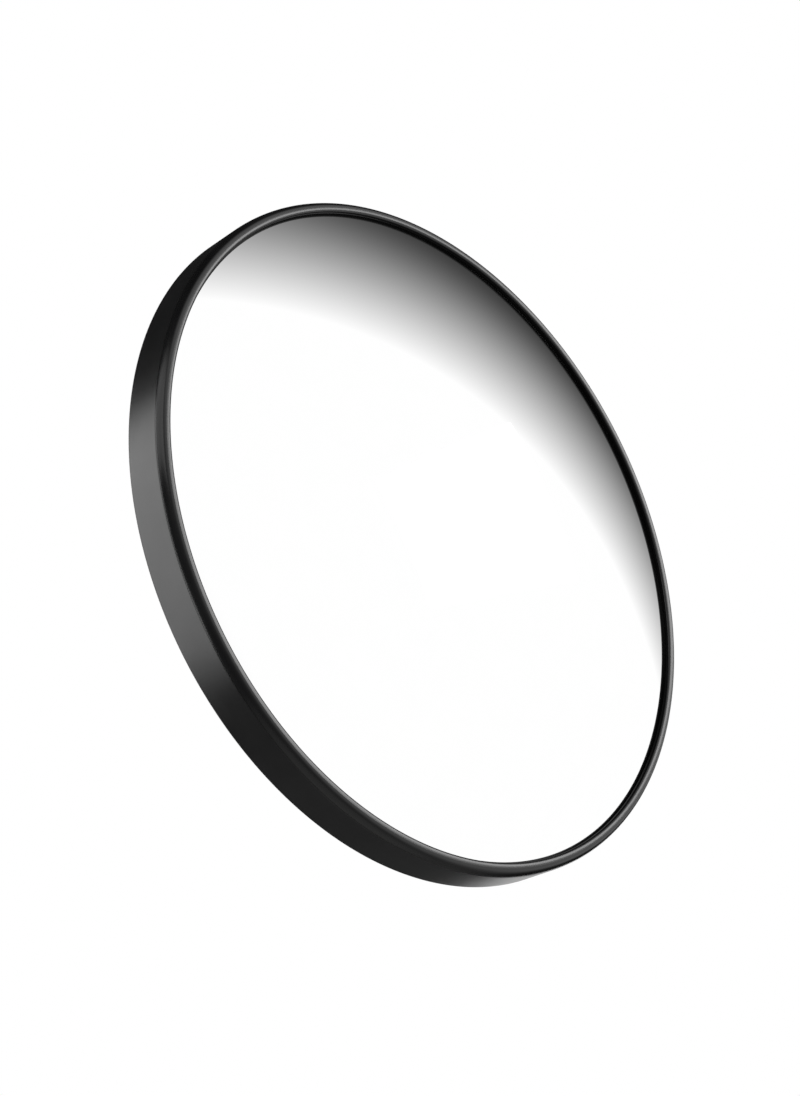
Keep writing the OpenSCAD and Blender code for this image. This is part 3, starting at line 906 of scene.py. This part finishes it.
class MIRROR_OT_tilt_fork(bpy.types.Operator):
    """Cuts and welds the fork: square base, two ears, bolt holes and weld beads"""

    bl_idname = "security_mirror.tilt_fork"
    bl_label = "Tilt fork"

    def execute(self, context):
        bracket = context.scene.mirror_bracket
        base_thickness = bracket.fork_base_thickness
        side = FORK_HIGH.x - FORK_LOW.x
        outside = TILT_WASHER_LOW.x
        inside = outside - bracket.fork_ear_thickness
        fork = prism("tilt_fork_welded", rectangle(side, side, bracket.fork_corner), base_thickness)
        put(fork, (0, FORK_LOW.y, 0), ALONG_Y)
        root = TILT_PIVOT.y - FORK_LOW.y - base_thickness / 2
        shape = ear(bracket.tilt_eye_radius, root)
        ears = [put(prism("ear", shape, bracket.fork_ear_thickness), (start, TILT_PIVOT.y, 0),
                    (QUARTER, 0, -QUARTER)) for start in (-inside, outside)]
        combine(fork, ears, "UNION")
        reach = bracket.fork_bolt_pitch / 2
        hole = bracket.fork_bolt_radius + bracket.hole_room
        drills = four_drills(
            hole, -MM, base_thickness + MM, Y_AXIS * FORK_LOW.y, X_AXIS * reach, Z_AXIS * reach, ALONG_Y)
        pivot = bracket.pivot_radius + bracket.hole_room
        drills.append(put(bar("drill", pivot, 0, outside + MM), TILT_PIVOT, ALONG_X))
        drills.append(block("square_punch", TILT_PIVOT - Vector((outside + MM, pivot, pivot)),
                            TILT_PIVOT + Vector((-inside + MM, pivot, pivot))))
        combine(fork, drills, "DIFFERENCE")
        round_edges(fork, bracket.edge_round)
        even_shading(fork)
        run = 2 * bracket.tilt_eye_radius - 3 * MM
        back = FORK_LOW.y + base_thickness
        places = [(x, back, -run / 2) for x in (-outside, -inside, inside, outside)]
        fork = weld_on(fork, bracket.weld_radius, run, places)
        finish(fork, "mirror_head", galvanised_steel, "galvanised_steel", "tilt_fork")
        return {"FINISHED"}


class MIRROR_OT_swivel_arm(bpy.types.Operator):
    """Casts the arm with a vertical and a horizontal eye, then faces and bores the eyes"""

    bl_idname = "security_mirror.swivel_arm"
    bl_label = "Swivel arm"

    def execute(self, context):
        bracket = context.scene.mirror_bracket
        spare = 1.5 * MM
        top = ARM_HIGH.z
        side = ARM_HIGH.x
        length = PAN_PIVOT.y - TILT_PIVOT.y
        arm = put(bar("swivel_arm_cast", bracket.pan_eye_radius, -top - spare, top + spare), PAN_PIVOT)
        beam = prism("beam", rectangle(bracket.beam_width, bracket.beam_height, bracket.beam_round), length)
        combine(arm, [put(beam, PAN_PIVOT, AGAINST_Y)], "UNION")
        eye = bar("tilt_eye", bracket.tilt_eye_radius, -side - spare, side + spare)
        combine(arm, [put(eye, TILT_PIVOT, ALONG_X)], "UNION")
        modify(arm, "REMESH", mode="VOXEL", voxel_size=0.75 * MM)
        modify(arm, "SMOOTH", factor=0.5, iterations=10)
        half = 20 * MM
        pan_low = PAN_PIVOT - Vector((half, half, 0))
        pan_high = PAN_PIVOT + Vector((half, half, 0))
        tilt_low = TILT_PIVOT - Vector((0, half, half))
        tilt_high = TILT_PIVOT + Vector((0, half, half))
        reach = 5 * MM
        combine(arm, [
            block("face_cut", pan_low + Z_AXIS * top, pan_high + Z_AXIS * (top + reach)),
            block("face_cut", pan_low - Z_AXIS * (top + reach), pan_high - Z_AXIS * top),
            block("face_cut", tilt_low + X_AXIS * side, tilt_high + X_AXIS * (side + reach)),
            block("face_cut", tilt_low - X_AXIS * (side + reach), tilt_high - X_AXIS * side),
        ], "DIFFERENCE")
        bore = bracket.bush_radius + bracket.press_gap
        combine(arm, [put(bar("bore", bore, -half, half), PAN_PIVOT)], "DIFFERENCE")
        combine(arm, [put(bar("bore", bore, -half, half), TILT_PIVOT, ALONG_X)], "DIFFERENCE")
        smooth(arm)
        finish(arm, "arm", casting_paint, "coated_casting", "swivel_arm")
        return {"FINISHED"}


class MIRROR_OT_pivot_bushes(bpy.types.Operator):
    """Turns one flanged nylon bush and copies it to both ends of both eyes"""

    bl_idname = "security_mirror.pivot_bushes"
    bl_label = "Pivot bushes"

    def execute(self, context):
        bracket = context.scene.mirror_bracket
        bore = bracket.pivot_radius + bracket.pivot_play
        sleeve = bracket.bush_radius
        flange = (TILT_BUSH_HIGH.z - TILT_BUSH_LOW.z) / 2
        thickness = bracket.bush_flange
        deep = TILT_BUSH_HIGH.x - TILT_BUSH_LOW.x - thickness
        edge = 0.2 * MM
        bush = lathe("bush", rounded_outline([
            (bore, -deep, edge), (sleeve, -deep, 2 * edge), (sleeve, 0, 0), (flange, 0, edge),
            (flange, thickness, edge), (bore, thickness, edge)], 4), 72)
        smooth(bush)
        pan_face = PAN_BUSH_HIGH.z - thickness
        tilt_face = TILT_BUSH_HIGH.x - thickness
        for node, place, turn in (
                ("tilt_bush_left", TILT_PIVOT - X_AXIS * tilt_face, AGAINST_X),
                ("tilt_bush_right", TILT_PIVOT + X_AXIS * tilt_face, ALONG_X),
                ("pan_bush_upper", PAN_PIVOT + Z_AXIS * pan_face, (0, 0, 0)),
                ("pan_bush_lower", PAN_PIVOT - Z_AXIS * pan_face, AGAINST_Z)):
            piece = put(copy_of(bush), place, turn)
            piece.name = node + "_turned"
            finish(piece, "arm", natural_nylon, "nylon", node)
        bpy.data.objects.remove(bush)
        return {"FINISHED"}


def carriage_bolt(bracket, head_radius, length):
    """A round headed bolt along Z, its head on the origin's plane and its thread at the far end."""
    radius = bracket.pivot_radius
    height = bracket.bolt_head_height
    rim = 0.9 * MM
    chamfer = 0.25 * MM
    rise = height - rim
    ball = (head_radius ** 2 + rise ** 2) / (2 * rise)
    middle = height - ball
    thread_end = -0.55 * length
    ridges = thread_ridges(radius, bracket.pivot_thread_pitch, MM - length, thread_end)
    outline = [(0, -length), (radius * 0.78, -length), *ridges, (radius, 0)]
    outline += [(head_radius - chamfer, 0), (head_radius, chamfer)]
    outline += arc((0, middle), ball, math.acos(head_radius / ball), QUARTER, 14)
    return smooth(lathe("carriage_bolt", outline, 64, closed=False))


class MIRROR_OT_pivot_bolts(bpy.types.Operator):
    """Turns the two round headed pivot bolts and the washers under the knobs"""

    bl_idname = "security_mirror.pivot_bolts"
    bl_label = "Pivot bolts and washers"

    def execute(self, context):
        bracket = context.scene.mirror_bracket
        head_radius = PAN_BOLT_HIGH.x
        pan_face = -PAN_WASHER_HIGH.z
        tilt_face = TILT_WASHER_LOW.x
        pan_bolt = carriage_bolt(bracket, head_radius, pan_face - PAN_BOLT_LOW.z)
        tilt_bolt = carriage_bolt(bracket, head_radius, tilt_face + TILT_BOLT_HIGH.x)
        hole = bracket.pivot_radius + bracket.hole_room
        ring = smooth(washer("ring", hole, PAN_WASHER_HIGH.x, TILT_WASHER_HIGH.x - tilt_face))
        for piece, node, body, place, turn in (
                (pan_bolt, "pan_bolt", "wall_bracket", PAN_PIVOT + Z_AXIS * pan_face, (0, 0, 0)),
                (tilt_bolt, "tilt_bolt", "mirror_head", TILT_PIVOT - X_AXIS * tilt_face, AGAINST_X),
                (copy_of(ring), "tilt_washer", "mirror_head", TILT_PIVOT + X_AXIS * tilt_face, ALONG_X),
                (ring, "pan_washer", "wall_bracket", PAN_PIVOT - Z_AXIS * pan_face, AGAINST_Z)):
            put(piece, place, turn)
            piece.name = node + "_plated"
            finish(piece, body, zinc_plating, "zinc_steel", node)
        return {"FINISHED"}


class MIRROR_OT_clamp_knobs(bpy.types.Operator):
    """Moulds a lobed hand knob with a dished top and a boss, and copies it to the second pivot"""

    bl_idname = "security_mirror.clamp_knobs"
    bl_label = "Clamp knobs"

    def execute(self, context):
        bracket = context.scene.mirror_bracket
        height = TILT_KNOB_HIGH.x - TILT_KNOB_LOW.x
        boss = bracket.knob_boss_height
        middle = (bracket.knob_radius + bracket.knob_waist) / 2
        swing = (bracket.knob_radius - bracket.knob_waist) / 2
        outline = []
        steps_per_lobe = 40
        steps = steps_per_lobe * bracket.knob_lobes
        for step in range(steps):
            angle = math.tau * step / steps
            radius = middle + swing * math.cos(bracket.knob_lobes * angle)
            outline.append((radius * math.cos(angle), radius * math.sin(angle)))
        soft = 2.4 * MM
        soft_steps = 7
        foot_share = 0.4
        turns = [QUARTER * step / soft_steps for step in range(soft_steps + 1)]
        shrink = soft / bracket.knob_radius
        foot = [(boss + foot_share * soft * (1 - math.sin(turn)),
                 1 - foot_share * shrink * (1 - math.cos(turn))) for turn in reversed(turns)]
        crown = [(height - soft * (1 - math.sin(turn)), 1 - shrink * (1 - math.cos(turn))) for turn in turns]
        knob = loft("knob", outline, foot + crown)
        collar_radius = bracket.knob_boss_radius
        collar_top = boss + 2 * MM
        collar = lathe("collar", rounded_outline([
            (0, 0, 0), (collar_radius, 0, 0.5 * MM), (collar_radius, collar_top, 0), (0, collar_top, 0)], 4),
            64, closed=False)
        combine(knob, [collar], "UNION")
        dish_radius = bracket.knob_waist * 0.72
        dish_depth = 1.1 * MM
        ball = (dish_radius ** 2 + dish_depth ** 2) / (2 * dish_depth)
        sweep = math.asin(dish_radius / ball)
        dish_middle = (0, height - dish_depth + ball)
        dish = arc(dish_middle, ball, -QUARTER, sweep - QUARTER, 14)
        dish += [(dish_radius, height + MM), (0, height + MM)]
        combine(knob, [lathe("dish", dish, 72, closed=False)], "DIFFERENCE")
        pocket = hexagon("pocket", bracket.insert_flats + 2 * bracket.press_gap, bracket.insert_height + MM)
        combine(knob, [put(pocket, (0, 0, -MM))], "DIFFERENCE")
        even_shading(knob)
        for piece, node, body, place, turn in (
                (copy_of(knob), "tilt_knob", "tilt_clamp", (TILT_KNOB_LOW.x, TILT_PIVOT.y, 0), ALONG_X),
                (knob, "pan_knob", "pan_clamp", (0, PAN_PIVOT.y, PAN_KNOB_HIGH.z), AGAINST_Z)):
            put(piece, place, turn)
            piece.name = node + "_moulded"
            finish(piece, body, knob_black, "knob_plastic", node)
        return {"FINISHED"}


class MIRROR_OT_wall_plate(bpy.types.Operator):
    """Cuts and welds the wall plate: rounded plate, screw holes, two pan ears and weld beads"""

    bl_idname = "security_mirror.wall_plate"
    bl_label = "Wall plate"

    def execute(self, context):
        bracket = context.scene.mirror_bracket
        thickness = bracket.plate_thickness
        outline = rectangle(PLATE_HIGH.x - PLATE_LOW.x, PLATE_HIGH.z - PLATE_LOW.z, bracket.plate_corner)
        plate = put(prism("wall_plate_welded", outline, thickness), turn=AGAINST_Y)
        outside = -PAN_WASHER_HIGH.z
        inside = outside - bracket.pan_ear_thickness
        shape = ear(bracket.pan_eye_radius, -PAN_PIVOT.y - thickness / 2)
        ears = [put(prism("ear", shape, bracket.pan_ear_thickness), PAN_PIVOT + Z_AXIS * start,
                    (0, 0, QUARTER)) for start in (inside, -outside)]
        combine(plate, ears, "UNION")
        hole = WALL_SCREWS["hole_r_mm"] * MM
        across = WALL_SCREWS["spacing_x_mm"] * MM / 2
        along = WALL_SCREWS["spacing_y_mm"] * MM / 2
        drills = four_drills(
            hole, -MM, thickness + MM, Vector(), X_AXIS * across, Z_AXIS * along, AGAINST_Y)
        pivot = bracket.pivot_radius + bracket.hole_room
        drills.append(put(bar("drill", pivot, -outside - MM, -inside + MM), PAN_PIVOT))
        drills.append(block("square_punch", PAN_PIVOT + Vector((-pivot, -pivot, inside - MM)),
                            PAN_PIVOT + Vector((pivot, pivot, outside + MM))))
        combine(plate, drills, "DIFFERENCE")
        round_edges(plate, bracket.edge_round)
        even_shading(plate)
        run = 2 * bracket.pan_eye_radius - 2 * MM
        places = [(-run / 2, -thickness, z) for z in (-outside, -inside, inside, outside)]
        plate = weld_on(plate, bracket.weld_radius, run, places, ALONG_X)
        finish(plate, "wall_bracket", galvanised_steel, "galvanised_steel", "wall_plate")
        return {"FINISHED"}


class MIRROR_OT_inner_pieces(bpy.types.Operator):
    """Gives the pieces inside the head and the knobs their finishes; their CAD shapes stay"""

    bl_idname = "security_mirror.inner_pieces"
    bl_label = "Inner pieces"

    def execute(self, context):
        for node, finish_of in (
                ("foam_gasket", cell_foam),
                ("stiffener_plate", zinc_plating),
                ("tilt_knob_insert", turned_brass),
                ("pan_knob_insert", turned_brass)):
            for place in frame["nodes"][node].material_slots:
                place.material = finish_of()
        return {"FINISHED"}


# Stage

WHITE = (1, 1, 1, 1)
BRIGHT_TONES = ((-0.7, 0.10), (-0.2, 0.17), (0.2, 0.27), (0.45, 0.55), (0.70, 1.0))
CORNER_TONES = ((0.86, 1.0), (0.92, 0.5), (0.96, 0.1), (1.0, 0.04))
DARK_START = 0.035
DARK_END = 0.44
DARK_POWER = 1.75
DARK_LEAST = 0.045


def cosine_to(tree, place, towards):
    """Cosine between a ray and a direction, as a socket."""
    facing = add_node(tree, "ShaderNodeVectorMath", {
        0: place.outputs["Generated"], 1: Vector(towards).normalized()}, operation="DOT_PRODUCT")
    return facing.outputs["Value"]


def tone_towards(tree, place, towards, tones):
    """Grey that follows how near a ray runs to a direction, from (cosine, tone) stops."""
    ramp = add_node(tree, "ShaderNodeValToRGB", {
        "Fac": remap(tree, cosine_to(tree, place, towards), -1.0, 1.0, 0.0, 1.0)})
    stops = ramp.color_ramp.elements
    for index, (cosine, tone) in enumerate(tones):
        position = (cosine + 1) / 2
        stop = stops[index] if index < 2 else stops.new(position)
        stop.position = position
        stop.color = (tone, tone, tone, 1)
    return ramp.outputs["Color"]


def shade_towards(tree, place, towards):
    """Grey that falls from white to its least tone as a ray turns towards a direction."""
    left = remap(tree, cosine_to(tree, place, towards), DARK_START, DARK_END, 1.0, 0.0)
    fall = add_node(tree, "ShaderNodeMath", {0: left, 1: DARK_POWER}, operation="POWER")
    tone = add_node(tree, "ShaderNodeMath", {
        0: fall.outputs["Value"], 1: 1 - DARK_LEAST, 2: DARK_LEAST}, operation="MULTIPLY_ADD")
    return tone.outputs["Value"]


def multiply(tree, one, other):
    """Product of two tones."""
    return add_node(tree, "ShaderNodeVectorMath", {0: one, 1: other}, operation="MULTIPLY").outputs["Vector"]


def dim_after_one_reflection(tree, path, stage):
    """Strength that is full in a reflection and low in a reflection of a reflection."""
    return remap(tree, path.outputs["Ray Depth"], 2.0, 3.0, 1.0, stage.second_bounce)


def mix_shaders(tree, factor, first, second):
    """Blends from the first shader to the second, as a socket."""
    return add_node(tree, "ShaderNodeMixShader", {"Fac": factor, 1: first, 2: second}).outputs["Shader"]


def background(tree, tone, strength):
    """Light of the room, as a socket."""
    light = add_node(tree, "ShaderNodeBackground", {"Color": tone, "Strength": strength})
    return light.outputs["Background"]


def room_light(world, stage):
    """White room for the camera, which reflections show white before the mirror and dim around it."""
    world.use_nodes = True
    tree = world.node_tree
    tree.nodes.clear()
    place = add_node(tree, "ShaderNodeTexCoord")
    path = add_node(tree, "ShaderNodeLightPath")
    front = multiply(tree, shade_towards(tree, place, stage.dark_side),
                     tone_towards(tree, place, stage.bright_side, BRIGHT_TONES))
    room = multiply(tree, front, tone_towards(tree, place, stage.dark_corner, CORNER_TONES))
    reflected = background(tree, room, dim_after_one_reflection(tree, path, stage))
    diffuse = background(tree, WHITE, stage.ambient)
    seen = background(tree, WHITE, 1.0)
    shiny = add_node(tree, "ShaderNodeMath", {
        0: path.outputs["Is Glossy Ray"], 1: path.outputs["Is Transmission Ray"]}, operation="MAXIMUM")
    lit = mix_shaders(tree, shiny.outputs["Value"], diffuse, reflected)
    add_node(tree, "ShaderNodeOutputWorld", {
        "Surface": mix_shaders(tree, path.outputs["Is Camera Ray"], lit, seen)})


def pale_floor(stage):
    """Pale floor that keeps the object's shadow and fades into the white room at its edge."""
    fade_from = 0.25
    fade_to = 0.87
    material, tree, shader = start_material("pale_floor")
    if tree:
        grain = object_noise(tree, 40, 4)
        tint(tree, grain, shade(stage.floor_colour, 0.98), stage.floor_colour, shader.inputs["Base Color"])
        shader.inputs["Roughness"].default_value = 0.8
        place = add_node(tree, "ShaderNodeTexCoord")
        reach = add_node(tree, "ShaderNodeVectorMath", {0: place.outputs["Object"]}, operation="LENGTH")
        fade = add_node(tree, "ShaderNodeMapRange", {
            "Value": reach.outputs["Value"], "From Min": stage.floor_radius * fade_from,
            "From Max": stage.floor_radius * fade_to}, interpolation_type="SMOOTHSTEP")
        clear = add_node(tree, "ShaderNodeBsdfTransparent")
        tree.links.new(
            mix_shaders(tree, fade.outputs["Result"], shader.outputs["BSDF"], clear.outputs["BSDF"]),
            tree.nodes["Material Output"].inputs["Surface"])
    return material


def outward_direction(swing, lift):
    """Direction from the mirror, by an angle aside from straight ahead and an angle up."""
    return Vector((math.sin(swing) * math.cos(lift), -math.cos(swing) * math.cos(lift), math.sin(lift)))


def softbox(stage, name, aside, height_angle, distance, width, height, radiance, roll=0):
    """A soft lamp aimed at the mirror, placed by degrees aside from straight ahead and degrees up."""
    outwards = outward_direction(math.radians(aside), math.radians(height_angle))
    place = Vector((0, RIM_LOW.y, 0)) + outwards * distance
    turn = outwards.to_track_quat("Z", "Y") @ Quaternion((0, 0, 1), math.radians(roll))
    clear_selection()
    bpy.ops.object.light_add(type="AREA", location=place, rotation=turn.to_euler())
    lamp = bpy.context.object
    lamp.name = name
    lamp.data.shape = "RECTANGLE"
    lamp.data.size = width
    lamp.data.size_y = height
    lamp.data.energy = radiance * math.pi * width * height
    lamp.data.cycles.max_bounces = 0
    lamp.data.use_nodes = True
    tree = lamp.data.node_tree
    path = add_node(tree, "ShaderNodeLightPath")
    tree.links.new(dim_after_one_reflection(tree, path, stage), tree.nodes["Emission"].inputs["Strength"])


class MIRROR_OT_stage(bpy.types.Operator):
    """Sets up the camera, the room light, the lamps and the floor"""

    bl_idname = "security_mirror.stage"
    bl_label = "Stage"

    def execute(self, context):
        stage = context.scene.mirror_stage
        azimuth = stage.view_azimuth
        elevation = stage.view_elevation
        back = outward_direction(azimuth, elevation)
        right = Vector((math.cos(azimuth), math.sin(azimuth), 0))
        up = back.cross(right)
        middle = Vector((0, bead_plane(context.scene.mirror_head), 0))
        place = middle + back * stage.view_distance + right * stage.view_aside + up * stage.view_raise
        clear_selection()
        bpy.ops.object.camera_add(location=place, rotation=(QUARTER - elevation, 0, azimuth))
        camera = context.object
        camera.data.lens = stage.lens
        camera.data.clip_end = 50
        context.scene.camera = camera

        world = bpy.data.worlds.new("studio_room")
        context.scene.world = world
        room_light(world, stage)
        softbox(stage, "left_rear_softbox", -130, -3, 1.7, 0.9, 2.0, 3.1)
        softbox(stage, "front_right_softbox", 44, 27, 2.4, 1.45, 0.75, 4.0, 22)
        softbox(stage, "left_front_softbox", -80, 25, 2.2, 2.6, 1.2, 1.2)
        softbox(stage, "right_rear_softbox", 131, 3, 2.2, 1.1, 0.9, 1.2)
        softbox(stage, "back_softbox", 180, -12, 2.2, 1.5, 0.9, 1.6)

        bpy.ops.mesh.primitive_circle_add(
            vertices=96, radius=stage.floor_radius, fill_type="NGON", location=(0, 0, stage.floor_height))
        floor = context.object
        floor.name = "studio_floor"
        floor.data.materials.append(pale_floor(stage))
        context.scene.view_settings.view_transform = "Standard"
        return {"FINISHED"}


class MIRROR_PT_panel(bpy.types.Panel):
    """Lists the mirror's pieces in the 3D view's sidebar"""

    bl_label = "Convex mirror"
    bl_idname = "MIRROR_PT_panel"
    bl_space_type = "VIEW_3D"
    bl_region_type = "UI"
    bl_category = "Mirror"

    def draw(self, context):
        for operator in OPERATORS:
            self.layout.operator(operator.bl_idname)


GROUPS = {
    "mirror_head": HeadSizes,
    "mirror_bracket": BracketSizes,
    "mirror_colours": FinishColours,
    "mirror_stage": StageSettings,
}
OPERATORS = (
    MIRROR_OT_rim_ring,
    MIRROR_OT_dome,
    MIRROR_OT_casing,
    MIRROR_OT_fork_hardware,
    MIRROR_OT_tilt_fork,
    MIRROR_OT_swivel_arm,
    MIRROR_OT_pivot_bushes,
    MIRROR_OT_pivot_bolts,
    MIRROR_OT_clamp_knobs,
    MIRROR_OT_wall_plate,
    MIRROR_OT_inner_pieces,
    MIRROR_OT_stage,
)
CLASSES = (*GROUPS.values(), *OPERATORS, MIRROR_PT_panel)


def register():
    for item in CLASSES:
        bpy.utils.register_class(item)
    for name, group in GROUPS.items():
        setattr(bpy.types.Scene, name, PointerProperty(type=group))


def unregister():
    for name in GROUPS:
        delattr(bpy.types.Scene, name)
    for item in reversed(CLASSES):
        bpy.utils.unregister_class(item)


def main():
    register()
    bpy.ops.security_mirror.rim_ring()
    bpy.ops.security_mirror.dome()
    bpy.ops.security_mirror.casing()
    bpy.ops.security_mirror.fork_hardware()
    bpy.ops.security_mirror.tilt_fork()
    bpy.ops.security_mirror.swivel_arm()
    bpy.ops.security_mirror.pivot_bushes()
    bpy.ops.security_mirror.pivot_bolts()
    bpy.ops.security_mirror.clamp_knobs()
    bpy.ops.security_mirror.wall_plate()
    bpy.ops.security_mirror.inner_pieces()
    bpy.ops.security_mirror.stage()


if __name__ == "__main__":
    main()
